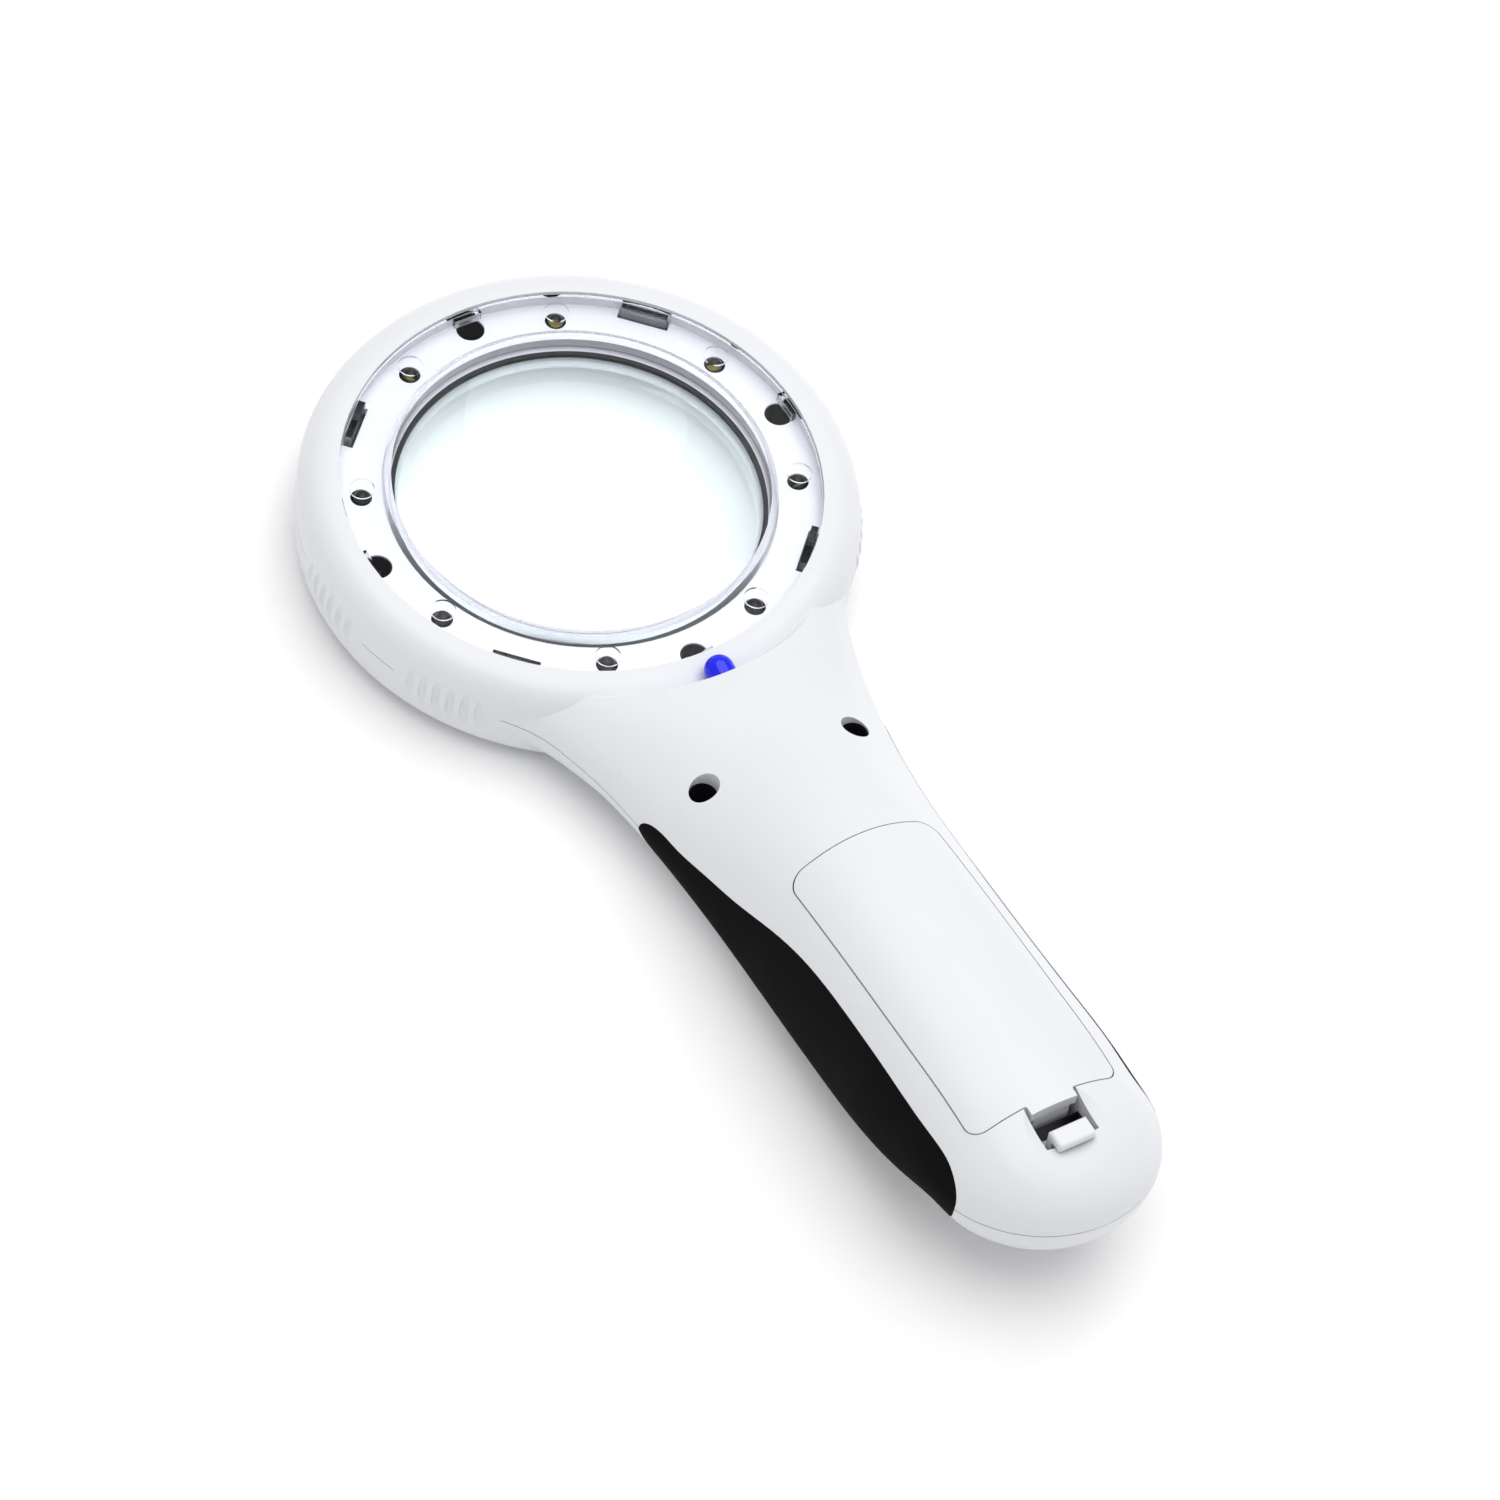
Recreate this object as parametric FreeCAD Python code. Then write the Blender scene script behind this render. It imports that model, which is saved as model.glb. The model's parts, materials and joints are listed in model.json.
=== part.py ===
import FreeCAD, Part
import math
import os

V = FreeCAD.Vector
UP = V(0, 0, 1)
os.makedirs("parts", exist_ok=True)

# Hand-held illuminated low vision magnifier, in millimetres.
# It is laid out about the lens axis: z = 0 is the rim of the LED ring and +Z leaves the LED side.
# The handle runs towards -Y. Every node is moved to the frame at the base when it is written.

# head: a disc with rounded rims
HEAD_R = 46.7
SEAM_Z = -7.5
RIM_TOP_Z = 0.5
RIM_CENTRE_Z = -5.0
RIM_R = 5.5
BASE_Z = -17.4
BASE_RIM_R = 6.0
WALL = 2.3
GROOVE_WIDTH = 0.22
GROOVE_DEPTH = 0.7
PAST_SEAM = 3.0

# neck and handle stations along -Y
STATIONS = [
    # y, half width, seam, top, bottom, top exponent, bottom exponent
    (-27.0, 37.6, -7.5, 1.2, -17.3, 2.2, 3.0),
    (-31.0, 34.4, -7.5, 1.9, -17.3, 2.1, 3.0),
    (-35.0, 31.3, -7.5, 2.6, -17.3, 2.0, 3.0),
    (-39.0, 28.7, -7.5, 3.2, -17.2, 1.9, 3.0),
    (-44.0, 26.8, -7.5, 3.7, -17.0, 1.8, 2.8),
    (-51.0, 24.8, -7.6, 4.4, -16.6, 1.7, 2.55),
    (-60.0, 23.1, -8.0, 5.2, -16.3, 1.7, 2.45),
    (-72.0, 21.6, -8.7, 7.3, -16.4, 1.8, 2.45),
    (-86.0, 20.5, -9.4, 9.9, -17.1, 2.0, 2.5),
    (-100.0, 20.1, -9.5, 11.4, -17.4, 2.15, 2.45),
    (-114.0, 20.0, -8.8, 12.0, -17.3, 2.25, 2.35),
    (-127.0, 20.1, -6.8, 12.3, -16.3, 2.25, 2.15),
    (-137.0, 19.7, -3.9, 12.4, -14.5, 2.2, 2.0),
]
NOSE_Y = -144.0
NOSE_LENGTH = 19.5
NOSE_HALF = 19.1
NOSE_SEAM = (-1.3, 2.6)
NOSE_TOP = 12.2
NOSE_BOTTOM = -12.7
NOSE_ANGLES = (0, 16, 31, 45, 57, 67, 76, 83, 88)

# LED ring recess, clear cover and lens
CAVITY_R = 40.0
PLATE_Z = -2.9
PLATE_THICK = 1.6
PLATE_INNER_R = 32.8
CAVITY_WALL = 1.6
COVER_THICK = 0.8
COVER_GAP = 0.2
SKIRT_R = (31.4, 32.5)
LENS_R = 31.2
LENS_EDGE = (-7.7, -5.5)
LENS_SAG = 3.8
LED_RING_R = 36.3
LED_ANGLES = [22.5 + 45 * k for k in range(8)]
LED_R = 1.5
LED_TIP_Z = -1.7
LED_LEAN = 15.0
LED_BASE_Z = -6.45
BOARD_TOP_Z = -7.0
BOARD_THICK = 1.0
WELL_RING_R = 37.9
WELL_ANGLES = (0, 90, 180, 270)
CLIP_ANGLES = (45, 135, 225, 315)
WELL_R = 2.4
WELL_FLOOR_Z = -9.2
BOSS_R = 3.3
BOSS_JOINT_Z = -10.4

# UV LED behind the ring, leaning back under the neck's crest
UV_CENTRE = V(0, -45.0, 1.7)
UV_LEAN = 75.0
UV_R = 2.5
UV_LENGTH = 5.6

# neck screws and switch
NECK_SCREW = (14.0, -64.5)
NECK_FLOOR_Z = -8.5
NECK_JOINT_Z = -10.0
SWITCH_Y = -69.0
SWITCH_TRAVEL = 2.0
MAIN_BOARD = (-9.2, -8.0)

# battery bay
DOOR_HALF = 13.2
DOOR_ARCH_R = 100.0
DOOR_REAR = -144.2
TAB_HALF = 4.1
TAB_REAR = -145.9
DOOR_THICK = 2.0
DOOR_GAP = 0.22
HINGE_Y = -87.8
HINGE_Z = 10.3
CELL_R = 5.25
CELLS = [(-5.55, -6.2, 1), (5.55, -6.2, -1), (0.0, 3.1, 1)]
BAY = (-140.4, -91.6)
CELL_BODY = 43.5
CELL_NUB = 1.0
POCKET_HALF = 4.7
POCKET = (-151.7, -143.9)
POCKET_FLOOR = 0.6
LATCH_HALF = 3.3
LATCH_ARM = 1.2
LATCH_LEGS = (-150.2, -145.0)
LATCH_PIVOT_Z = 4.6

SHIFT = V(0, (NOSE_LENGTH - NOSE_Y - HEAD_R) / 2, -BASE_Z)
nodes = {}


def box(x, y, z):
    """Block between (low, high) pairs."""
    return Part.makeBox(x[1] - x[0], y[1] - y[0], z[1] - z[0], V(x[0], y[0], z[0]))


def rod(radius, start, end):
    return Part.makeCylinder(radius, (end - start).Length, start, end - start)


def ring(inner, outer, low, high):
    tube = rod(outer, V(0, 0, low), V(0, 0, high))
    return tube.cut(rod(inner, V(0, 0, low - 1), V(0, 0, high + 1)))


def polar(radius, degrees, z=0.0):
    t = math.radians(degrees)
    return V(radius * math.cos(t), radius * math.sin(t), z)


def turned(edges_or_points):
    """Solid of revolution about the lens axis from (r, z) points or from edges in the XZ plane."""
    if isinstance(edges_or_points[0], tuple):
        corners = [V(r, 0, z) for r, z in edges_or_points]
        wire = Part.makePolygon(corners + corners[:1])
    else:
        wire = Part.Wire(edges_or_points)
    return Part.Face(wire).revolve(V(0, 0, 0), UP, 360)


def extruded(wire, direction):
    return Part.Face(wire).extrude(direction)


def joined(shape, parts):
    """Fuses the parts on one at a time."""
    for part in parts:
        shape = shape.fuse(part)
    return shape


def carved(shape, tools):
    """Cuts the tools out one at a time."""
    for tool in tools:
        shape = shape.cut(tool)
    return shape


def bezier(points):
    curve = Part.BezierCurve()
    curve.setPoles(points)
    return curve.toShape()


def spline(points):
    curve = Part.BSplineCurve()
    curve.interpolate(points)
    return curve.toShape()


def mirrored(shape):
    return shape.mirror(V(0, 0, 0), V(1, 0, 0))


# ---------------------------------------------------------------- outer form

def half_section(y, half, seam, depth, exponent, up, past):
    """Edges of two arcs of about a super-ellipse on one side of the seam, closed past it."""
    grip = (8 * 0.5 ** (1 / exponent) - 4) / 3
    side = V(half, y, seam)
    crown = V(0, y, seam + up * depth)
    handles = [V(half, y, seam + up * depth * grip), V(half * grip, y, crown.z)]
    mirror = [V(-p.x, p.y, p.z) for p in (handles[1], handles[0], side)]
    edges = [bezier([side, *handles, crown]), bezier([crown, *mirror])]
    if past > 0:
        low_left = V(-half, y, seam - up * past)
        low_right = V(half, y, seam - up * past)
        edges += [Part.makeLine(mirror[2], low_left), Part.makeLine(low_left, low_right)]
        edges.append(Part.makeLine(low_right, side))
    else:
        edges.append(Part.makeLine(mirror[2], side))
    return edges


def half_sections(offset, up, past):
    """Edges of every section above (up=1) or below (up=-1) the seam, drawn in by offset."""
    sections = []
    for y, half, seam, top, bottom, n_top, n_bottom in STATIONS:
        depth, exponent = (top - seam, n_top) if up > 0 else (seam - bottom, n_bottom)
        sections.append(half_section(y, half - offset, seam, depth - offset, exponent, up, past))
    for degrees in NOSE_ANGLES:
        t = math.sin(math.radians(degrees))
        shrink = math.cos(math.radians(degrees))
        seam = NOSE_SEAM[0] + (NOSE_SEAM[1] - NOSE_SEAM[0]) * t
        depth = ((NOSE_TOP - seam if up > 0 else seam - NOSE_BOTTOM) - offset) * shrink
        y = NOSE_Y - (NOSE_LENGTH - offset) * t
        sections.append(half_section(y, (NOSE_HALF - offset) * shrink, seam, depth, 2.0, up, past))
    return sections


def handle_half(offset, up, past):
    return Part.makeLoft([Part.Wire(edges) for edges in half_sections(offset, up, past)], True, False)


def handle_full(offset):
    """Neck and handle as one closed solid with no seam, drawn in by offset."""
    wires = []
    for upper, lower in zip(half_sections(offset, 1, 0), half_sections(offset, -1, 0)):
        wires.append(Part.Wire(upper[:2] + [e.reversed() for e in reversed(lower[:2])]))
    return Part.makeLoft(wires, True, False)


def head_half(offset, up, past):
    """Half of the head's disc, with its rounded rim, drawn in by offset."""
    if up > 0:
        centre_z, rim, face_z = RIM_CENTRE_Z, RIM_R - offset, RIM_TOP_Z - offset
    else:
        centre_z, rim, face_z = BASE_Z + BASE_RIM_R, BASE_RIM_R - offset, BASE_Z + offset
    outer = HEAD_R - offset
    centre_r = outer - rim
    middle = V(centre_r + rim * math.cos(math.pi / 4), 0, centre_z + up * rim * math.sin(math.pi / 4))
    start_z = SEAM_Z - up * past
    corners = [V(0, 0, start_z), V(outer, 0, start_z), V(outer, 0, centre_z)]
    edge_of_rim = V(centre_r, 0, face_z)
    edges = [Part.makeLine(corners[0], corners[1]), Part.makeLine(corners[1], corners[2])]
    edges.append(Part.Arc(corners[2], middle, edge_of_rim).toShape())
    edges.append(Part.makeLine(edge_of_rim, V(0, 0, face_z)))
    edges.append(Part.makeLine(V(0, 0, face_z), corners[0]))
    return turned(edges)


def step_cutter(drop):
    """Clears the neck's plateau over the ring: a soft valley, then a slope up to the crest."""
    slope = [(43.6, -0.5), (44.6, -0.3), (46.0, 1.3), (47.1, 3.6), (48.2, 5.2), (50.0, 6.2)]
    points = [V(r, 0, z - drop) for r, z in slope]
    lid_z = 20.0
    edges = [spline(points), Part.makeLine(points[-1], V(slope[-1][0], 0, lid_z))]
    edges.append(Part.makeLine(V(slope[-1][0], 0, lid_z), V(0, 0, lid_z)))
    edges.append(Part.makeLine(V(0, 0, lid_z), V(0, 0, points[0].z)))
    edges.append(Part.makeLine(V(0, 0, points[0].z), points[0]))
    return turned(edges)


def body_half(offset, up, past=0.0):
    handle = handle_half(offset, up, past)
    if up > 0:
        handle = handle.cut(step_cutter(offset))
    return head_half(offset, up, past).fuse(handle)


def seam_band():
    """Slab just above the seam that the parting groove is cut from."""
    points = [V(0, HEAD_R + 5, SEAM_Z), V(0, -15, SEAM_Z)]
    points += [V(0, y, seam) for y, half, seam, *rest in STATIONS]
    for degrees in NOSE_ANGLES[:-2]:
        t = math.sin(math.radians(degrees))
        points.append(V(0, NOSE_Y - NOSE_LENGTH * t, NOSE_SEAM[0] + (NOSE_SEAM[1] - NOSE_SEAM[0]) * t))
    points.append(V(0, NOSE_Y - NOSE_LENGTH - 3, NOSE_SEAM[1]))
    upper = [p + V(0, 0, GROOVE_WIDTH) for p in points]
    lower = [p - V(0, 0, 1.0) for p in points]
    wire = Part.makePolygon(upper + lower[::-1] + upper[:1])
    return extruded(wire, V(120, 0, 0)).translated(V(-60, 0, 0))


# ---------------------------------------------------------------- thumb ribs on the head's sides

RIB_GROUPS = (180.0, 213.0)
RIB_PITCH = 3.1
RIB_COUNT = 6
RIB_R = 0.8
RIB_HALF_HEIGHT = 3.9
PAD_SIZE = (3.0, 11.0, 5.4)
PAD_RISE = 0.55


def rib_pad(degrees, up):
    """Half of a low lens-shaped swelling on the head's side, above or below the seam."""
    ball = Part.makeSphere(1.0, V(0, 0, 0), UP, *((0, 90) if up > 0 else (-90, 0)), 360)
    matrix = FreeCAD.Matrix()
    matrix.scale(*PAD_SIZE)
    pad = ball.transformGeometry(matrix)
    pad.translate(V(HEAD_R + PAD_RISE - PAD_SIZE[0], 0, SEAM_Z))
    pad.rotate(V(0, 0, 0), UP, degrees)
    return pad


def rib_cutters(degrees):
    """Upright round-ended grooves; the middle ones are the longest."""
    cutters = []
    for k in range(RIB_COUNT):
        place = k - (RIB_COUNT - 1) / 2
        reach = RIB_HALF_HEIGHT * math.sqrt(1 - (place / (RIB_COUNT / 2 + 0.6)) ** 2)
        spot = polar(HEAD_R + PAD_RISE + 0.1, degrees + place * RIB_PITCH, SEAM_Z)
        low, high = spot - V(0, 0, reach), spot + V(0, 0, reach)
        ends = [Part.makeSphere(RIB_R, low), Part.makeSphere(RIB_R, high)]
        cutters.append(rod(RIB_R, low, high).fuse(ends))
    return cutters


def with_ribs(shell, up):
    pads = []
    cutters = []
    for degrees in RIB_GROUPS:
        pads.append(rib_pad(degrees, up))
        cutters += rib_cutters(degrees)
    pads += [mirrored(pad) for pad in pads]
    cutters += [mirrored(cutter) for cutter in cutters]
    hollow = head_half(WALL, up, PAST_SEAM)
    pads = [pad.cut(hollow) for pad in pads]
    return carved(joined(shell, pads), cutters)


# ---------------------------------------------------------------- grips

GRIP_TOP = [(-61.0, -8.3), (-61.6, -6.3), (-64.0, -5.3), (-69.0, -4.95), (-75.5, -3.9), (-83.3, -2.2),
            (-92.4, 0.6), (-99.7, 2.4), (-106.0, 3.3), (-114.0, 3.95), (-124.6, 4.6), (-133.0, 5.0),
            (-140.8, 5.15), (-145.8, 4.5), (-148.4, 3.0), (-149.4, 0.0)]
GRIP_BOTTOM = [(-149.4, 0.0), (-148.4, -3.8), (-143.0, -8.6), (-131.0, -12.0), (-117.0, -13.9),
               (-102.0, -14.3), (-86.0, -13.3), (-72.0, -11.4), (-63.4, -10.0), (-61.0, -8.3)]
GRIP_RAISE = 0.04
GRIP_SINK = 1.1


def grip_prism():
    wire = Part.Wire([spline([V(0, y, z) for y, z in GRIP_TOP]), spline([V(0, y, z) for y, z in GRIP_BOTTOM])])
    return extruded(wire, V(-40, 0, 0))


def grip_pair():
    """Left and right soft inlays, and the recess that holds each."""
    prism = grip_prism()
    outside = handle_full(-GRIP_RAISE)
    inside = handle_full(GRIP_SINK)
    left = outside.common(prism).cut(inside)
    recess = prism.cut(inside)
    return left, mirrored(left), recess, mirrored(recess)


# ---------------------------------------------------------------- screws

def pan_screw(x, y, head_z, head_r, head_h, shaft_r, length):
    """Cross-recess screw, head up, its shaft running down from head_z."""
    head = rod(head_r, V(x, y, head_z), V(x, y, head_z + head_h))
    rim = [e for e in head.Edges if abs(e.BoundBox.ZMin - (head_z + head_h)) < 1e-6 and e.Length > 1]
    head = head.makeFillet(head_h * 0.4, rim)
    slot = 0.28
    reach = head_r * 0.62
    bottom = head_z + head_h * 0.45
    cross = box((x - reach, x + reach), (y - slot, y + slot), (bottom, head_z + head_h + 1))
    cross = cross.fuse(box((x - slot, x + slot), (y - reach, y + reach), (bottom, head_z + head_h + 1)))
    shaft = rod(shaft_r, V(x, y, head_z - length), V(x, y, head_z + 0.2))
    return head.cut(cross).fuse(shaft)


# ---------------------------------------------------------------- ring cover, lens and LEDs

def led(base, direction, radius, flange, length, tip_radius=None):
    """Round LED: flange at the base, barrel and domed tip."""
    tip_radius = tip_radius or radius
    barrel = rod(radius, base, base + direction * (length - tip_radius))
    dome = Part.makeSphere(tip_radius, base + direction * (length - tip_radius))
    collar = rod(flange, base, base + direction * 1.0)
    return barrel.fuse([dome, collar])


def white_led(degrees):
    """One of the ring's LEDs, leaning in towards the lens axis through the middle of its hole."""
    t = math.radians(LED_LEAN)
    axis = polar(-math.sin(t), degrees, math.cos(t))
    middle_z = PLATE_Z - PLATE_THICK / 2
    base = polar(LED_RING_R, degrees, middle_z) + axis * ((LED_BASE_Z - middle_z) / axis.z)
    return led(base, axis, LED_R, 1.7, (LED_TIP_Z - LED_BASE_Z) / axis.z)


def lens_solid():
    low, high = LENS_EDGE
    crown, foot = V(0, 0, high + LENS_SAG), V(0, 0, low - LENS_SAG)
    curve_r = (LENS_R ** 2 + LENS_SAG ** 2) / (2 * LENS_SAG)
    mid_r = LENS_R / 2
    fall = curve_r - math.sqrt(curve_r ** 2 - mid_r ** 2)
    top = Part.Arc(V(LENS_R, 0, high), V(mid_r, 0, crown.z - fall), crown).toShape()
    bottom = Part.Arc(foot, V(mid_r, 0, foot.z + fall), V(LENS_R, 0, low)).toShape()
    side = Part.makeLine(V(LENS_R, 0, low), V(LENS_R, 0, high))
    return turned([top, Part.makeLine(crown, foot), bottom, side])


def ring_cover():
    """Clear snap-in cover: flat ring, inner skirt, LED dimples, wide and narrow clips."""
    outer = CAVITY_R - COVER_GAP
    low_skirt = -4.8
    cover = ring(SKIRT_R[0], outer, -COVER_THICK, 0.0)
    cover = cover.fuse(ring(SKIRT_R[0], SKIRT_R[1], low_skirt, -COVER_THICK + 0.1))
    legs = []
    for degrees in CLIP_ANGLES:
        leg = box((38.3, 39.5), (-4.0, 4.0), (-5.6, -0.4))
        leg.rotate(V(0, 0, 0), UP, degrees)
        legs.append(leg)
    for degrees in WELL_ANGLES:
        leg = box((38.9, 39.6), (-2.5, 2.5), (-2.6, -0.4))
        leg.rotate(V(0, 0, 0), UP, degrees)
        legs.append(leg)
    cover = cover.fuse(legs)
    dimples = []
    for degrees in LED_ANGLES:
        spot = polar(LED_RING_R, degrees, -COVER_THICK - 0.5)
        dimples.append(rod(2.1, spot, spot + V(0, 0, 0.9)))
    return cover.cut(dimples)


def plate_openings():
    """LED holes, screw wells and clip slots through the ring's floor."""
    tools = []
    for degrees in LED_ANGLES:
        tools.append(rod(1.8, polar(LED_RING_R, degrees, -9), polar(LED_RING_R, degrees, 0)))
    for degrees in WELL_ANGLES:
        tools.append(rod(WELL_R, polar(WELL_RING_R, degrees, WELL_FLOOR_Z), polar(WELL_RING_R, degrees, PLATE_Z)))
        tools.append(rod(1.15, polar(WELL_RING_R, degrees, -12), polar(WELL_RING_R, degrees, 0)))
    for degrees in CLIP_ANGLES:
        slot = box((37.9, 39.9), (-4.4, 4.4), (-7.0, PLATE_Z + 0.1))
        slot.rotate(V(0, 0, 0), UP, degrees)
        tools.append(slot)
    return tools


def uv_axis():
    t = math.radians(UV_LEAN)
    return V(0, math.sin(t), math.cos(t))


# ---------------------------------------------------------------- battery door and latch

def rounded_wire(corners):
    """Closed wire in the XY plane through (x, y, radius) corners, each rounded by its arc."""
    starts, ends, edges = [], [], []
    points = [V(x, y, 0) for x, y, radius in corners]
    for k, (x, y, radius) in enumerate(corners):
        before = (points[k - 1] - points[k]).normalize()
        after = (points[(k + 1) % len(points)] - points[k]).normalize()
        half_angle = before.getAngle(after) / 2
        reach = radius / math.tan(half_angle)
        start, end = points[k] + before * reach, points[k] + after * reach
        if radius > 0:
            inward = (before + after).normalize()
            middle = points[k] + inward * (radius / math.sin(half_angle) - radius)
            edges.append(Part.Arc(start, middle, end).toShape())
        starts.append(start)
        ends.append(end)
    for k, end in enumerate(ends):
        edges.append(Part.makeLine(end, starts[(k + 1) % len(starts)]))
    return Part.Wire(Part.__sortEdges__(edges))


def door_prism(grow):
    """Plan of the door, raised: faintly arched front, rounded corners and a tab for the latch."""
    right = [(DOOR_HALF, HINGE_Y - 0.7, 3.0), (DOOR_HALF, DOOR_REAR, 2.4)]
    right += [(TAB_HALF, DOOR_REAR, 0.4), (TAB_HALF, TAB_REAR, 0.0)]
    left = [(-x, y, radius) for x, y, radius in reversed(right)]
    face = Part.Face(rounded_wire([(0.0, HINGE_Y + 0.1, DOOR_ARCH_R)] + right + left))
    if grow:
        face = face.makeOffset2D(grow, 0)
    return face.translated(V(0, 0, -5)).extrude(V(0, 0, 30))


def door_solid(outer_top):
    plate = outer_top.common(door_prism(0)).cut(handle_half(DOOR_THICK, 1, PAST_SEAM))
    leg_y = (LATCH_LEGS[1] - LATCH_ARM / 2, LATCH_LEGS[1] + LATCH_ARM / 2)
    leg = box((-LATCH_HALF, LATCH_HALF), leg_y, (LATCH_PIVOT_Z + 0.15, 11.0))
    parts = [plate, leg]
    for side in (-1, 1):
        x = sorted((side * 6.2, side * 8.8))
        parts.append(box(x, (-94.2, -93.0), (3.4, 7.6)))
        parts.append(box(x, (-94.2, -86.8), (3.4, 4.5)))
    door = parts[0].fuse(parts[1:])
    return door.common(outer_top)


def latch_solid():
    """U-shaped spring hook with a finger pad at its free end."""
    low, high = LATCH_LEGS
    mid = (low + high) / 2
    mean = (high - low) / 2
    x = (-LATCH_HALF, LATCH_HALF)
    start, end = V(-LATCH_HALF, mid, LATCH_PIVOT_Z), V(LATCH_HALF, mid, LATCH_PIVOT_Z)
    bend = rod(mean + LATCH_ARM / 2, start, end).cut(rod(mean - LATCH_ARM / 2, start - V(1, 0, 0), end + V(1, 0, 0)))
    bend = bend.cut(box((-9, 9), (mid - 9, mid + 9), (LATCH_PIVOT_Z, 20)))
    leg = box(x, (low - LATCH_ARM / 2, low + LATCH_ARM / 2), (LATCH_PIVOT_Z, 10.9))
    pad = box(x, (-153.1, low + LATCH_ARM / 2), (10.3, 11.9))
    pad = pad.makeFillet(0.55, [e for e in pad.Edges if e.BoundBox.ZMin > 11.8 or e.BoundBox.YMax < -153])
    return bend.fuse([leg, pad])


# ---------------------------------------------------------------- shells

def boss_spots():
    return [polar(WELL_RING_R, degrees) for degrees in WELL_ANGLES]


def neck_spots():
    return [V(-NECK_SCREW[0], NECK_SCREW[1], 0), V(NECK_SCREW[0], NECK_SCREW[1], 0)]


def led_side_shell(outer, recesses):
    """Shell with the ring recess, neck screw holes, battery door opening and latch pocket."""
    shell = outer.cut(body_half(WALL, 1, PAST_SEAM))
    groove = seam_band().cut(body_half(GROOVE_DEPTH, 1, PAST_SEAM))
    shell = shell.cut(groove)
    shell = shell.cut(rod(CAVITY_R, V(0, 0, PLATE_Z), V(0, 0, 9)))
    additions = [ring(PLATE_INNER_R, CAVITY_R + CAVITY_WALL, PLATE_Z - PLATE_THICK, PLATE_Z)]
    additions.append(ring(CAVITY_R, CAVITY_R + CAVITY_WALL, PLATE_Z - PLATE_THICK, -0.5))
    additions.append(ring(33.6, 34.7, -6.4, PLATE_Z - 0.5))
    for spot in boss_spots():
        additions.append(rod(BOSS_R, spot + V(0, 0, BOSS_JOINT_Z), spot + V(0, 0, PLATE_Z - 0.5)))
    for spot in neck_spots():
        post = rod(3.9, spot + V(0, 0, NECK_JOINT_Z), spot + V(0, 0, 9))
        additions.append(post.common(outer.fuse(rod(20, V(spot.x, spot.y, -12), V(spot.x, spot.y, -5)))))
    axis = uv_axis()
    sleeve = rod(4.1, UV_CENTRE - axis * 5.4, UV_CENTRE - axis * 1.0)
    additions.append(sleeve.common(outer))
    pocket_walls = box((-5.9, 5.9), (POCKET[0] - 1.2, POCKET[1] + 1.2), (POCKET_FLOOR - 1.2, 9.8))
    additions.append(pocket_walls.common(outer))
    additions.append(door_ledge(outer))
    shell = joined(shell, additions)
    tools = plate_openings()
    tools.append(rod(PLATE_INNER_R, V(0, 0, -5.2), V(0, 0, 9)))
    for spot in neck_spots():
        tools.append(rod(WELL_R, spot + V(0, 0, NECK_FLOOR_Z), spot + V(0, 0, 20)))
        tools.append(rod(1.15, spot + V(0, 0, -12), spot + V(0, 0, 0)))
    tools.append(rod(2.75, UV_CENTRE - axis * 9, UV_CENTRE + axis * 0.4))
    tools.append(rod(3.1, UV_CENTRE - axis * 9, UV_CENTRE - axis * (UV_LENGTH - 1.2)))
    tools.append(Part.makeSphere(2.75, UV_CENTRE + axis * 0.4))
    tools.append(box((-POCKET_HALF, POCKET_HALF), POCKET, (POCKET_FLOOR, 20)))
    scoop = Part.makeSphere(16.0, V(0, -151.0, 10.0 + 15.6))
    tools.append(scoop)
    tools.append(door_prism(DOOR_GAP).cut(handle_half(DOOR_THICK + 0.15, 1, PAST_SEAM)))
    tools.append(door_prism(-1.8))
    shell = carved(with_ribs(carved(shell, tools), 1), recesses)
    return carved(shell, [slot.common(door_prism(-0.4)) for slot in tongue_slots()])


def tongue_slots():
    """Room for the door's two tongues beside the middle."""
    return [box((5.7, 9.3), (-95.0, -84.0), (0, 12)), box((-9.3, -5.7), (-95.0, -84.0), (0, 12))]


def door_ledge(outer):
    """Lip inside the opening that the door rests on, clear of its tongues and of its hook."""
    band = handle_half(DOOR_THICK + 0.15, 1, 0).cut(handle_half(DOOR_THICK + 1.6, 1, PAST_SEAM))
    lip = band.common(door_prism(0.9)).cut(door_prism(-1.8))
    lip = lip.cut(tongue_slots())
    return lip.cut(box((-6, 6), (-150, -141.5), (0, 14)))


def underside_shell(recesses):
    """Shell with the lens tube, screw bosses and the switch slot."""
    outer = body_half(0, -1)
    shell = outer.cut(head_half(WALL, -1, PAST_SEAM)).cut(handle_half(WALL, -1, PAST_SEAM))
    tube = [(29.6, -8.2), (31.35, -7.75), (31.35, -4.9), (33.3, -4.9), (33.3, -15.3), (38.5, -15.3),
            (38.5, BASE_Z), (35.6, BASE_Z), (34.4, -16.4), (30.2, -9.9), (29.6, -9.4)]
    shell = shell.cut(rod(37.0, V(0, 0, -25), V(0, 0, 5)))
    additions = [turned(tube)]
    for spot in boss_spots():
        additions.append(rod(3.0, spot + V(0, 0, -16), spot + V(0, 0, BOSS_JOINT_Z)))
    for spot in neck_spots():
        post = rod(3.2, spot + V(0, 0, -15), spot + V(0, 0, NECK_JOINT_Z))
        additions.append(post.common(outer))
    shell = joined(shell, additions)
    tools = [rod(1.0, spot + V(0, 0, -14.2), spot + V(0, 0, 0)) for spot in boss_spots()]
    tools += [rod(1.0, spot + V(0, 0, -13.0), spot + V(0, 0, 0)) for spot in neck_spots()]
    tools.append(box((-2.3, 2.3), (SWITCH_Y - 5.3, SWITCH_Y + 5.3), (-20, -10)))
    return carved(with_ribs(carved(shell, tools), -1), recesses)


# ---------------------------------------------------------------- switch, boards and cells

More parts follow.
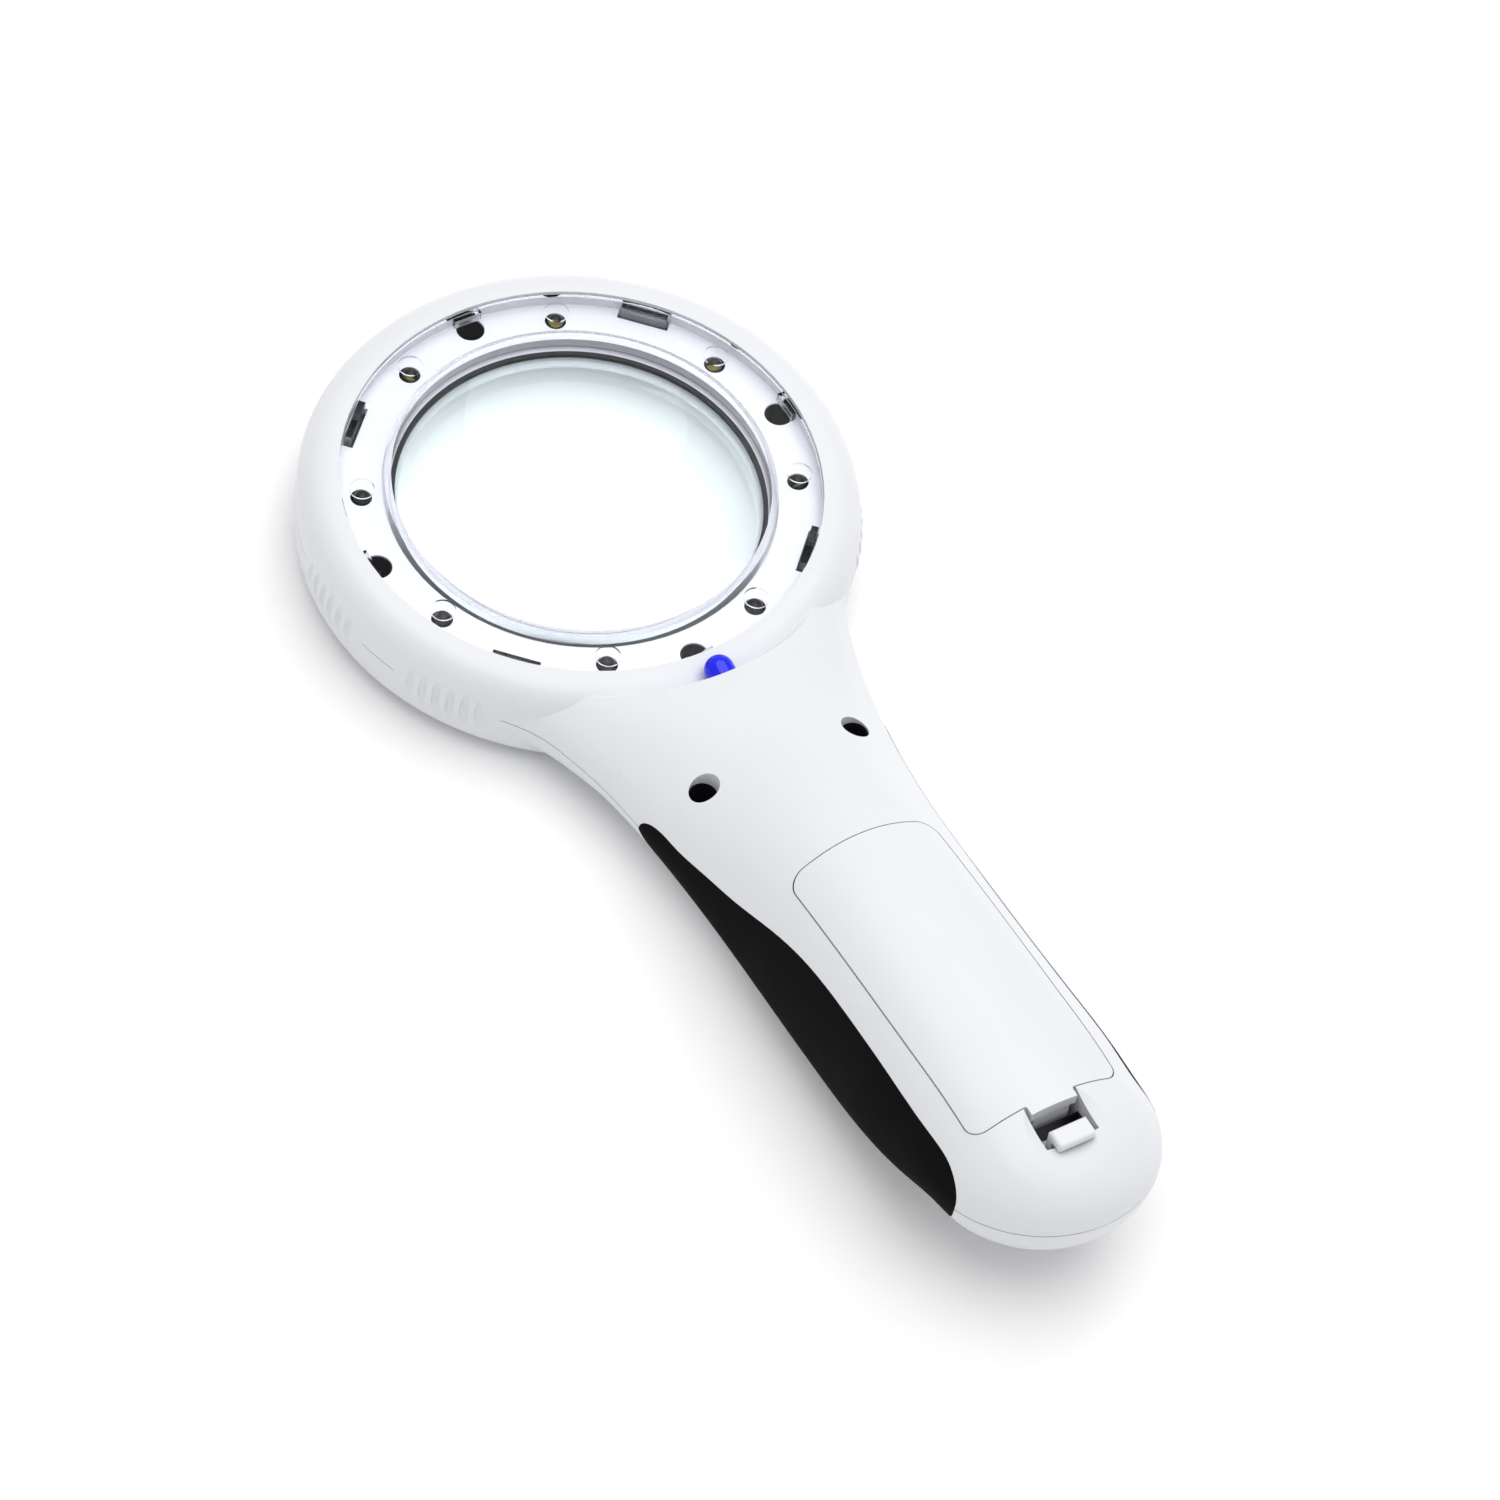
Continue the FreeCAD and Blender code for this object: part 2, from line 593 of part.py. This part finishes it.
def power_knob():
    """Sliding cap with three finger ridges, a neck in the slot and a flange inside the shell."""
    y = (SWITCH_Y - 3.0, SWITCH_Y + 3.0)
    knob = box((-2.0, 2.0), y, (-16.5, -12.6))
    knob = knob.fuse(box((-3.3, 3.3), (SWITCH_Y - 7.3, SWITCH_Y + 7.3), (-12.9, -12.4)))
    ridges = []
    for k in (-1, 0, 1):
        ridge_y = SWITCH_Y + 1.8 * k
        ridges.append(rod(0.4, V(-2.0, ridge_y, -16.5), V(2.0, ridge_y, -16.5)))
    knob = knob.fuse(ridges)
    return knob.cut(box((-1.1, 1.1), (SWITCH_Y - 1.1, SWITCH_Y + 1.1), (-14.6, -10)))


def control_board():
    board = box((-9.3, 9.3), (-82.0, -56.0), MAIN_BOARD)
    corner = [e for e in board.Edges if abs(e.BoundBox.ZLength - 1.2) < 1e-6]
    return board.makeFillet(1.0, corner)


def resistors():
    """Surface-mounted resistors on the control board."""
    shape = []
    for k in range(4):
        y = -60.0 - 4.5 * k
        shape.append(box((4.2, 7.4), (y - 0.8, y + 0.8), (MAIN_BOARD[1], MAIN_BOARD[1] + 0.6)))
    return Part.makeCompound(shape)


def ring_board():
    """Annular LED board with round cut-outs for the screw bosses."""
    board = ring(34.9, 43.4, BOARD_TOP_Z - BOARD_THICK, BOARD_TOP_Z)
    holes = [rod(BOSS_R + 0.3, spot + V(0, 0, -12), spot + V(0, 0, 0)) for spot in boss_spots()]
    slots = []
    for degrees in CLIP_ANGLES:
        slot = box((37.6, 40.2), (-4.6, 4.6), (-12, 0))
        slot.rotate(V(0, 0, 0), UP, degrees)
        slots.append(slot)
    return board.cut(holes + slots)


def cell(x, z, front):
    """AAA cell; front=1 puts its positive nub towards +Y."""
    if front > 0:
        tip, direction = V(x, BAY[1], z), V(0, -1, 0)
    else:
        tip, direction = V(x, BAY[0], z), V(0, 1, 0)
    shoulder = tip + direction * CELL_NUB
    body = rod(CELL_R, shoulder, shoulder + direction * CELL_BODY)
    ends = [e for e in body.Edges if e.Length > 20 and len(e.Vertexes) == 1]
    body = body.makeFillet(0.5, ends)
    return body.fuse(rod(1.9, tip, shoulder + direction * 0.3))


def cell_spring(x, z, front):
    """Conical compression spring behind the cell's flat end."""
    turns, wire_r, steps = 3, 0.3, 36
    height = BAY[1] - BAY[0] - CELL_BODY - CELL_NUB - 2 * wire_r - 0.05
    points = [polar(3.6 + 0.4 * k / steps, 360 * turns * k / steps, height * k / steps) for k in range(steps + 1)]
    helix = spline(points)
    profile = Part.Wire(Part.makeCircle(wire_r, points[0], helix.tangentAt(helix.FirstParameter)))
    coil = Part.Wire([helix]).makePipeShell([profile], True, True)
    coil.rotate(V(0, 0, 0), V(1, 0, 0), -90 if front > 0 else 90)
    base = BAY[0] + wire_r + 0.03 if front > 0 else BAY[1] - wire_r - 0.03
    coil.translate(V(x, base, z))
    return coil


def contact(spots, y, thick):
    """Flat contact strip that covers the given (x, z) spots."""
    plates = []
    for x, z in spots:
        plates.append(box((x - 3.6, x + 3.6), (y, y + thick), (z - 3.6, z + 3.6)))
    if len(spots) == 2:
        (x0, z0), (x1, z1) = spots
        bridge = box((min(x0, x1) - 0.2, max(x0, x1) + 0.2), (y, y + thick), (min(z0, z1) - 0.2, max(z0, z1) + 0.7))
        plates.append(bridge)
    return plates[0].fuse(plates[1:]).removeSplitter() if len(plates) > 1 else plates[0]


def cradle():
    """Moulded tray under the lower cells, with end walls that carry the contacts."""
    inner = handle_full(WALL + 0.15)
    tray = box((-12.3, 12.3), (-142.3, -89.6), (-16, -6.4)).common(inner)
    bores = [rod(CELL_R + 0.2, V(x, -140.8, z), V(x, -91.2, z)) for x, z, front in CELLS]
    tray = tray.cut(bores)
    front, rear = (-91.2, -89.7), (-142.3, -140.8)
    walls = [box((-12.3, 12.3), front, (-12, 2.6)), box((-4.4, 4.4), front, (0, 7.2))]
    walls += [box((-12.3, 12.3), rear, (-12, 2.6)), box((-4.4, 4.4), rear, (0, 7.6))]
    return tray.fuse([wall.common(inner) for wall in walls])


def wire_tube(points, radius):
    """Insulated lead: straight runs joined by tangent arcs."""
    edges = []
    last = points[0]
    for before, corner, after in zip(points, points[1:], points[2:]):
        a, b = (before - corner), (after - corner)
        reach = 0.45 * min(a.Length, b.Length)
        a.normalize()
        b.normalize()
        start, end = corner + a * reach, corner + b * reach
        turn = math.pi - a.getAngle(b)
        bend_r = reach / math.tan(turn / 2)
        middle = a + b
        middle.normalize()
        centre = corner + middle * math.hypot(bend_r, reach)
        edges.append(Part.makeLine(last, start))
        edges.append(Part.Arc(start, centre - middle * bend_r, end).toShape())
        last = end
    edges.append(Part.makeLine(last, points[-1]))
    path = Part.Wire(edges)
    profile = Part.Wire(Part.makeCircle(radius, points[0], points[1] - points[0]))
    return path.makePipeShell([profile], True, False)


LEADS = {
    "lead_battery_positive": [V(-8, -89.5, -2), V(-8, -85.5, -2.5), V(-7.2, -82.5, -5), V(-7, -79, -7.3)],
    "lead_battery_negative": [V(6, -143.2, -2.4), V(10, -143.3, -3.0), V(13.2, -143.0, -3.5), V(15.2, -140.0, -4),
                              V(15.6, -122, -5), V(15.6, -104, -5.5), V(14.8, -88.0, -5.5), V(8.5, -84, -5.2),
                              V(7, -79, -7.3)],
    "lead_ring_positive": [V(-5, -58.5, -7.4), V(-6, -53, -6), V(-12, -46, -6.0), V(-16.0, -39.6, -6.4)],
    "lead_ring_negative": [V(5, -58.5, -7.4), V(6, -53, -6), V(12, -46, -6.0), V(16.0, -39.6, -6.4)],
    "lead_uv_positive": [V(-2.2, -60, -7.4), V(-2.0, -56, -4.5), V(-1.4, -53.2, -1.5), V(-1.3, -50.6, 0.2)],
    "lead_uv_negative": [V(2.2, -60, -7.4), V(2.0, -56, -4.5), V(1.4, -53.2, -1.5), V(1.3, -50.6, 0.2)],
}


# ---------------------------------------------------------------- build every node

outer_top = body_half(0, 1)
left_grip, right_grip, left_recess, right_recess = grip_pair()
recesses = [left_recess, right_recess]
nodes["led_side_shell"] = led_side_shell(outer_top, recesses)
nodes["underside_shell"] = underside_shell(recesses)
nodes["left_grip"] = left_grip
nodes["right_grip"] = right_grip
nodes["lens"] = lens_solid()
nodes["lens_seal"] = ring(30.5, 31.3, LENS_EDGE[1] + 0.2, -4.6)
nodes["ring_cover"] = ring_cover()
nodes["led_ring_board"] = ring_board()
for index, degrees in enumerate(LED_ANGLES):
    nodes[f"white_led_{index + 1}"] = white_led(degrees)
nodes["uv_led"] = led(UV_CENTRE - uv_axis() * UV_LENGTH, uv_axis(), UV_R, 2.9, UV_LENGTH + UV_R)
screws = [pan_screw(s.x, s.y, WELL_FLOOR_Z, 1.95, 1.5, 0.98, 4.6) for s in boss_spots()]
nodes["head_screws"] = Part.makeCompound(screws)
screws = [pan_screw(s.x, s.y, NECK_FLOOR_Z, 1.95, 1.5, 0.98, 4.1) for s in neck_spots()]
nodes["neck_screws"] = Part.makeCompound(screws)
nodes["control_board"] = control_board()
nodes["board_resistors"] = resistors()
nodes["switch_case"] = box((-2.4, 2.4), (SWITCH_Y - 4.8, SWITCH_Y + 4.8), (-12.2, MAIN_BOARD[0]))
nodes["switch_actuator"] = box((-0.9, 0.9), (SWITCH_Y - 0.9, SWITCH_Y + 0.9), (-14.4, -12.3))
nodes["power_knob"] = power_knob()
nodes["battery_door"] = door_solid(outer_top)
nodes["door_latch"] = latch_solid()
nodes["battery_cradle"] = cradle()
for index, spot in enumerate(CELLS):
    nodes[f"aaa_cell_{index + 1}"] = cell(*spot)
    nodes[f"cell_spring_{index + 1}"] = cell_spring(*spot)
lower_left, lower_right, upper = [(x, z) for x, z, front in CELLS]
nodes["contact_positive"] = contact([lower_left], BAY[1], 0.4)
nodes["contact_link_front"] = contact([lower_right, upper], BAY[1], 0.4)
nodes["contact_link_rear"] = contact([lower_left, lower_right], BAY[0] - 0.4, 0.4)
nodes["contact_negative"] = contact([upper], BAY[0] - 0.4, 0.4)
for name, route in LEADS.items():
    nodes[name] = wire_tube(route, 0.6)

for name, shape in nodes.items():
    placed = shape.copy()
    placed.translate(SHIFT)
    placed.exportStep(f"parts/{name}.step")
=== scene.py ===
import bmesh
import bpy
import json
import math
from mathutils import Matrix, Vector


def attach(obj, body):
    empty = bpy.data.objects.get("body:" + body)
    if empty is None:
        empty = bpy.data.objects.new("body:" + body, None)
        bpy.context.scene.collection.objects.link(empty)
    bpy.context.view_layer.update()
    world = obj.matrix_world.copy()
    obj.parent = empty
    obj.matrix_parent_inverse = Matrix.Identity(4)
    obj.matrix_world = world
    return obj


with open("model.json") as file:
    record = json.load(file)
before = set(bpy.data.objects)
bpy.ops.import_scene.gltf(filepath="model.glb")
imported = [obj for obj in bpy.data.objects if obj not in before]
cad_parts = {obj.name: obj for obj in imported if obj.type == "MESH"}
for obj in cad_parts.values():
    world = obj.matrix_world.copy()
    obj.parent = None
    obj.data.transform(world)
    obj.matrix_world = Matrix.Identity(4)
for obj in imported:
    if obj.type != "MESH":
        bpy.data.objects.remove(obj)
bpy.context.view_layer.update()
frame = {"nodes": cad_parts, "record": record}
nodes = frame["nodes"]

MM = 0.001
LENS_AXIS_Y = 0.0584
RING_RIM_Z = 0.0174


# ---------------------------------------------------------------- node helpers

class Maker:
    """Builds one procedural material around a Principled shader."""

    def __init__(self, name):
        self.material = bpy.data.materials.new(name)
        self.material.use_nodes = True
        self.tree = self.material.node_tree
        self.shader = self.tree.nodes["Principled BSDF"]
        coords = self.tree.nodes.new("ShaderNodeTexCoord")
        self.object = coords.outputs["Object"]

    def set(self, **values):
        for key, value in values.items():
            self.shader.inputs[key.replace("_", " ")].default_value = value
        return self

    def noise(self, scale, detail=3.0, roughness=0.5):
        node = self.tree.nodes.new("ShaderNodeTexNoise")
        node.inputs["Scale"].default_value = scale
        node.inputs["Detail"].default_value = detail
        node.inputs["Roughness"].default_value = roughness
        self.tree.links.new(self.object, node.inputs["Vector"])
        return node.outputs["Fac"]

    def cells(self, scale):
        node = self.tree.nodes.new("ShaderNodeTexVoronoi")
        node.inputs["Scale"].default_value = scale
        self.tree.links.new(self.object, node.inputs["Vector"])
        return node.outputs["Distance"]

    def ramp(self, value, stops):
        node = self.tree.nodes.new("ShaderNodeValToRGB")
        ramp = node.color_ramp
        while len(ramp.elements) < len(stops):
            ramp.elements.new(0.5)
        for element, (place, colour) in zip(ramp.elements, stops):
            element.position = place
            element.color = (*colour, 1.0) if len(colour) == 3 else colour
        self.tree.links.new(value, node.inputs["Fac"])
        return node.outputs["Color"]

    def spread(self, value, low, high):
        node = self.tree.nodes.new("ShaderNodeMapRange")
        node.inputs["From Min"].default_value = 0.3
        node.inputs["From Max"].default_value = 0.7
        node.inputs["To Min"].default_value = low
        node.inputs["To Max"].default_value = high
        self.tree.links.new(value, node.inputs["Value"])
        return node.outputs["Result"]

    def colour(self, socket):
        self.tree.links.new(socket, self.shader.inputs["Base Color"])
        return self

    def rough(self, socket):
        self.tree.links.new(socket, self.shader.inputs["Roughness"])
        return self

    def bump(self, height, strength, distance):
        node = self.tree.nodes.new("ShaderNodeBump")
        node.inputs["Strength"].default_value = strength
        node.inputs["Distance"].default_value = distance
        self.tree.links.new(height, node.inputs["Height"])
        self.tree.links.new(node.outputs["Normal"], self.shader.inputs["Normal"])
        return self


def plastic(name, light, dark, rough, grain=900.0, strength=0.05, distance=0.00003, **values):
    """Moulded plastic: faint tone changes, uneven gloss and a fine moulded grain."""
    m = Maker(name)
    m.colour(m.ramp(m.noise(14.0), [(0.3, dark), (0.7, light)]))
    m.rough(m.spread(m.noise(60.0, 4.0), *rough))
    m.bump(m.noise(grain, 2.0), strength, distance)
    return m.set(**values).material


def metal(name, light, dark, rough, grain=1400.0, strength=0.1):
    m = Maker(name)
    m.colour(m.ramp(m.noise(90.0), [(0.3, dark), (0.7, light)]))
    m.rough(m.spread(m.noise(300.0, 4.0), *rough))
    m.bump(m.noise(grain, 2.0), strength, 0.00002)
    return m.set(Metallic=1.0).material


def clear(name, tint, rough, ior, scale=25.0, passed=0.9):
    """Clear plastic that bends what is seen through it and lets the lamps' light straight through."""
    m = Maker(name)
    m.colour(m.ramp(m.noise(scale), [(0.3, tint), (0.7, tuple(min(1.0, c * 1.01) for c in tint))]))
    m.rough(m.spread(m.noise(40.0), *rough))
    m.shader.inputs["Transmission Weight"].default_value = 1.0
    m.shader.inputs["IOR"].default_value = ior
    path = m.tree.nodes.new("ShaderNodeLightPath")
    through = m.tree.nodes.new("ShaderNodeBsdfTransparent")
    through.inputs["Color"].default_value = (*(c * passed for c in tint), 1.0)
    mix = m.tree.nodes.new("ShaderNodeMixShader")
    m.tree.links.new(path.outputs["Is Shadow Ray"], mix.inputs["Fac"])
    m.tree.links.new(m.shader.outputs["BSDF"], mix.inputs[1])
    m.tree.links.new(through.outputs["BSDF"], mix.inputs[2])
    m.tree.links.new(mix.outputs["Shader"], m.tree.nodes["Material Output"].inputs["Surface"])
    return m.material


# ---------------------------------------------------------------- materials

WHITE, WHITE_DEEP = (0.755, 0.765, 0.792), (0.735, 0.745, 0.772)
looks = {
    "white_abs": plastic("white_abs", WHITE, WHITE_DEEP, (0.26, 0.36)),
    "white_abs_door": plastic("white_abs_door", WHITE, WHITE_DEEP, (0.3, 0.4)),
    "black_grip": plastic("black_grip", (0.006, 0.006, 0.0065), (0.0035, 0.0035, 0.004), (0.7, 0.85), 1600.0, 0.2,
                          0.00006, Specular_IOR_Level=0.06),
    "lens_clear": clear("lens_clear", (0.935, 0.978, 0.985), (0.0, 0.01), 1.5, passed=0.98),
    "seal_rubber": plastic("seal_rubber", (0.02, 0.02, 0.022), (0.012, 0.012, 0.014), (0.4, 0.55)),
    "cover_clear": clear("cover_clear", (0.93, 0.937, 0.962), (0.0, 0.02), 1.2, passed=0.95),
    # painted shade: the clear LED domes get a darkened smoky tint, so the LEDs read dark
    "white_led_clear": clear("white_led_clear", (0.60, 0.58, 0.50), (0.0, 0.02), 1.42, 600.0),
    "uv_led_blue": plastic("uv_led_blue", (0.001, 0.012, 0.95), (0.0, 0.004, 0.75), (0.07, 0.12),
                           Specular_IOR_Level=0.5),
    "board_white": plastic("board_white", (0.62, 0.63, 0.62), (0.55, 0.56, 0.55), (0.4, 0.5)),
    "board_green": plastic("board_green", (0.02, 0.14, 0.06), (0.015, 0.1, 0.045), (0.35, 0.5)),
    "resistor_black": plastic("resistor_black", (0.03, 0.03, 0.03), (0.02, 0.02, 0.02), (0.4, 0.5)),
    "screw_dark": metal("screw_dark", (0.16, 0.17, 0.2), (0.09, 0.1, 0.12), (0.25, 0.4)),
    "switch_steel": metal("switch_steel", (0.6, 0.6, 0.62), (0.5, 0.5, 0.52), (0.25, 0.4)),
    "switch_black": plastic("switch_black", (0.03, 0.03, 0.03), (0.02, 0.02, 0.02), (0.45, 0.6)),
    "knob_black": plastic("knob_black", (0.02, 0.02, 0.022), (0.013, 0.013, 0.015), (0.45, 0.6), 1300.0, 0.2),
    "cradle_white": plastic("cradle_white", (0.7, 0.7, 0.71), (0.65, 0.65, 0.66), (0.45, 0.6)),
    "cell_jacket": plastic("cell_jacket", (0.06, 0.08, 0.1), (0.04, 0.05, 0.07), (0.25, 0.35), Metallic=0.4),
    "spring_steel": metal("spring_steel", (0.72, 0.72, 0.74), (0.6, 0.6, 0.62), (0.2, 0.3)),
    "contact_nickel": metal("contact_nickel", (0.74, 0.73, 0.7), (0.62, 0.61, 0.58), (0.2, 0.35)),
    "lead_red": plastic("lead_red", (0.5, 0.02, 0.02), (0.4, 0.015, 0.015), (0.35, 0.5)),
    "lead_black": plastic("lead_black", (0.02, 0.02, 0.02), (0.014, 0.014, 0.014), (0.35, 0.5)),
}

for part in frame["record"]["subparts"]:
    mesh = nodes[part["node"]].data
    mesh.materials.clear()
    mesh.materials.append(looks[part["material_slot"]])


# ---------------------------------------------------------------- insides of the LEDs and of the deep holes, darkened with painted shade

def turned(name, outline, spot, direction, body, look):
    """Closed piece turned from its (radius, height) outline round an axis through spot."""
    shape = bmesh.new()
    verts = [shape.verts.new((radius, 0, height)) for radius, height in outline]
    pairs = [pair for pair in zip(verts, verts[1:] + verts[:1]) if pair[0].co.x or pair[1].co.x]
    edges = [shape.edges.new(pair) for pair in pairs]
    bmesh.ops.spin(shape, geom=verts + edges, cent=(0, 0, 0), axis=(0, 0, 1), angle=2 * math.pi, steps=48,
                   use_merge=True)
    bmesh.ops.remove_doubles(shape, verts=shape.verts, dist=1e-8)
    bmesh.ops.recalc_face_normals(shape, faces=shape.faces)
    mesh = bpy.data.meshes.new(name)
    shape.to_mesh(mesh)
    shape.free()
    mesh.transform(Matrix.Translation(spot) @ direction.to_track_quat("Z", "Y").to_matrix().to_4x4())
    mesh.materials.append(look)
    piece = bpy.data.objects.new(name, mesh)
    bpy.context.scene.collection.objects.link(piece)
    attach(piece, body)
    return piece


def on_ring(radius, degrees, z):
    """Point round the lens axis, at z above the ring's rim."""
    turn = math.radians(degrees)
    return Vector((radius * math.cos(turn), LENS_AXIS_Y + radius * math.sin(turn), RING_RIM_Z + z))


UP = Vector((0, 0, 1))
# painted shade: near-black material for sleeves and cups that stand in for the shadow deep inside holes, LED wells and
# the latch pocket
painted_hole_shade = plastic("painted_hole_shade", (0.010, 0.011, 0.016), (0.005, 0.0055, 0.009), (0.45, 0.6))
phosphor = plastic("phosphor", (1.0, 0.86, 0.22), (0.9, 0.7, 0.12), (0.5, 0.7), 2500.0, 0.3)

LED_LEAN = math.radians(15.0)
LED_HOLE_RING = 36.3 * MM
PLATE_MIDDLE = -3.7 * MM
for index in range(8):
    degrees = 22.5 + 45 * index
    outward = (on_ring(1.0, degrees, 0.0) - on_ring(0.0, degrees, 0.0)).normalized()
    axis = UP * math.cos(LED_LEAN) - outward * math.sin(LED_LEAN)
    middle = on_ring(LED_HOLE_RING, degrees, PLATE_MIDDLE)
    # painted shade: a black cup round each LED, so the LEDs seen from the near side read dark
    cup = [(0.0, -1.5 * MM), (1.42 * MM, -1.5 * MM), (1.42 * MM, 0.3 * MM), (1.28 * MM, 1.15 * MM),
           (1.15 * MM, 1.15 * MM), (1.0 * MM, -1.0 * MM), (0.0, -1.0 * MM)]
    turned(f"led_shade_cup_{index + 1}", cup, middle, axis, "housing", painted_hole_shade)
    glow = [(0.0, -0.95 * MM), (0.7 * MM, -0.95 * MM), (0.85 * MM, -0.7 * MM), (0.0, -0.6 * MM)]
    turned(f"led_phosphor_{index + 1}", glow, middle, axis, "housing", phosphor)
    # painted shade: a thin dark sleeve on the white wall of each LED hole
    edge = [(1.76 * MM, -0.75 * MM), (1.795 * MM, -0.75 * MM), (1.795 * MM, 0.6 * MM), (1.76 * MM, 0.6 * MM)]
    turned(f"led_hole_shade_{index + 1}", edge, middle, UP, "housing", painted_hole_shade)

WELL_R = 2.4 * MM
# painted shade: thin dark sleeves inside the ring's and the neck's screw wells
for index in range(4):
    spot = on_ring(37.9 * MM, 90 * index, 0.0)
    wall = [(WELL_R - 0.11 * MM, -9.1 * MM), (WELL_R - 0.01 * MM, -9.1 * MM), (WELL_R - 0.01 * MM, -3.2 * MM),
            (WELL_R - 0.11 * MM, -3.2 * MM)]
    turned(f"ring_well_shade_{index + 1}", wall, spot, UP, "housing", painted_hole_shade)
for index, side in enumerate((-1, 1)):
    spot = Vector((side * 14.0 * MM, LENS_AXIS_Y - 64.5 * MM, RING_RIM_Z))
    wall = [(WELL_R - 0.11 * MM, -8.4 * MM), (WELL_R - 0.01 * MM, -8.4 * MM), (WELL_R - 0.01 * MM, -0.2 * MM),
            (WELL_R - 0.11 * MM, -0.2 * MM)]
    turned(f"neck_well_shade_{index + 1}", wall, spot, UP, "housing", painted_hole_shade)

def frame_wall(name, x, y, z, thick, body, look):
    """Closed upright wall of the given thickness round the inside of a rectangular pocket."""
    shape = bmesh.new()
    rings = []
    for inset, height in ((0.0, z[0]), (0.0, z[1]), (thick, z[1]), (thick, z[0])):
        corners = [(x[0] + inset, y[0] + inset), (x[1] - inset, y[0] + inset), (x[1] - inset, y[1] - inset),
                   (x[0] + inset, y[1] - inset)]
        rings.append([shape.verts.new((a, b, height)) for a, b in corners])
    for ring, following in zip(rings, rings[1:] + rings[:1]):
        for k in range(4):
            shape.faces.new((ring[k], ring[(k + 1) % 4], following[(k + 1) % 4], following[k]))
    bmesh.ops.recalc_face_normals(shape, faces=shape.faces)
    mesh = bpy.data.meshes.new(name)
    shape.to_mesh(mesh)
    shape.free()
    mesh.materials.append(look)
    piece = bpy.data.objects.new(name, mesh)
    bpy.context.scene.collection.objects.link(piece)
    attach(piece, body)
    return piece


POCKET_X = (-4.68 * MM, 4.68 * MM)
POCKET_Y = (LENS_AXIS_Y - 151.6 * MM, LENS_AXIS_Y - 146.3 * MM)
POCKET_Z = (RING_RIM_Z + 0.65 * MM, RING_RIM_Z + 7.6 * MM)
# painted shade: a thin dark lining round the inside of the latch pocket
frame_wall("latch_pocket_shade", POCKET_X, POCKET_Y, POCKET_Z, 0.1 * MM, "housing", painted_hole_shade)


# ---------------------------------------------------------------- floor, light and camera

def grid_sheet(name, size, steps, height, material):
    """Level sheet of quads round the object, not part of it."""
    mesh = bpy.data.meshes.new(name)
    shape = bmesh.new()
    bmesh.ops.create_grid(shape, x_segments=steps, y_segments=steps, size=size)
    shape.to_mesh(mesh)
    shape.free()
    sheet = bpy.data.objects.new(name, mesh)
    sheet.location.z = height
    mesh.materials.append(material)
    bpy.context.scene.collection.objects.link(sheet)
    return sheet


floor_look = plastic("floor_paper", (0.97, 0.97, 0.97), (0.96, 0.96, 0.96), (0.85, 0.95), 300.0, 0.02)
floor_look.node_tree.nodes["Principled BSDF"].inputs["Specular IOR Level"].default_value = 0.05
grid_sheet("floor", 2.5, 8, -0.0002, floor_look)


def area_light(name, spot, aim, size, power, outline="RECTANGLE"):
    light = bpy.data.lights.new(name, "AREA")
    light.shape = outline
    light.size, light.size_y = size
    light.energy = power
    lamp = bpy.data.objects.new(name, light)
    lamp.location = spot
    lamp.rotation_mode = "QUATERNION"
    lamp.rotation_quaternion = (Vector(aim) - Vector(spot)).to_track_quat("-Z", "Y")
    bpy.context.scene.collection.objects.link(lamp)
    return lamp


area_light("overhead", (0.15, 0.06, 1.3), (0, 0, 0), (1.7, 1.7), 12.2, "DISK")
area_light("key", (0.9, 0.7, 0.9), (0, 0, 0), (0.6, 0.6), 2.4).visible_glossy = False

world = bpy.data.worlds.new("studio")
world.use_nodes = True
world.node_tree.nodes["Background"].inputs["Color"].default_value = (1.0, 1.0, 1.0, 1.0)
world.node_tree.nodes["Background"].inputs["Strength"].default_value = 0.6
bpy.context.scene.world = world
bpy.context.scene.view_settings.view_transform = "Standard"

AZIMUTH, ELEVATION, ROLL = (math.radians(a) for a in (-38.18, 52.66, 10.12))
TARGET = Vector((-0.0028, -0.0017, RING_RIM_Z))
back = Vector((math.sin(AZIMUTH) * math.cos(ELEVATION), -math.cos(AZIMUTH) * math.cos(ELEVATION), math.sin(ELEVATION)))
level_right = (-back).cross(Vector((0, 0, 1))).normalized()
level_up = level_right.cross(-back)
right = math.cos(ROLL) * level_right + math.sin(ROLL) * level_up
up = -math.sin(ROLL) * level_right + math.cos(ROLL) * level_up
camera = bpy.data.objects.new("camera", bpy.data.cameras.new("camera"))
camera.data.sensor_width = 36.0
camera.data.lens = 160.75
camera.matrix_world = Matrix.Translation(TARGET + back * 1.07) @ Matrix((right, up, back)).transposed().to_4x4()
bpy.context.scene.collection.objects.link(camera)
bpy.context.scene.camera = camera
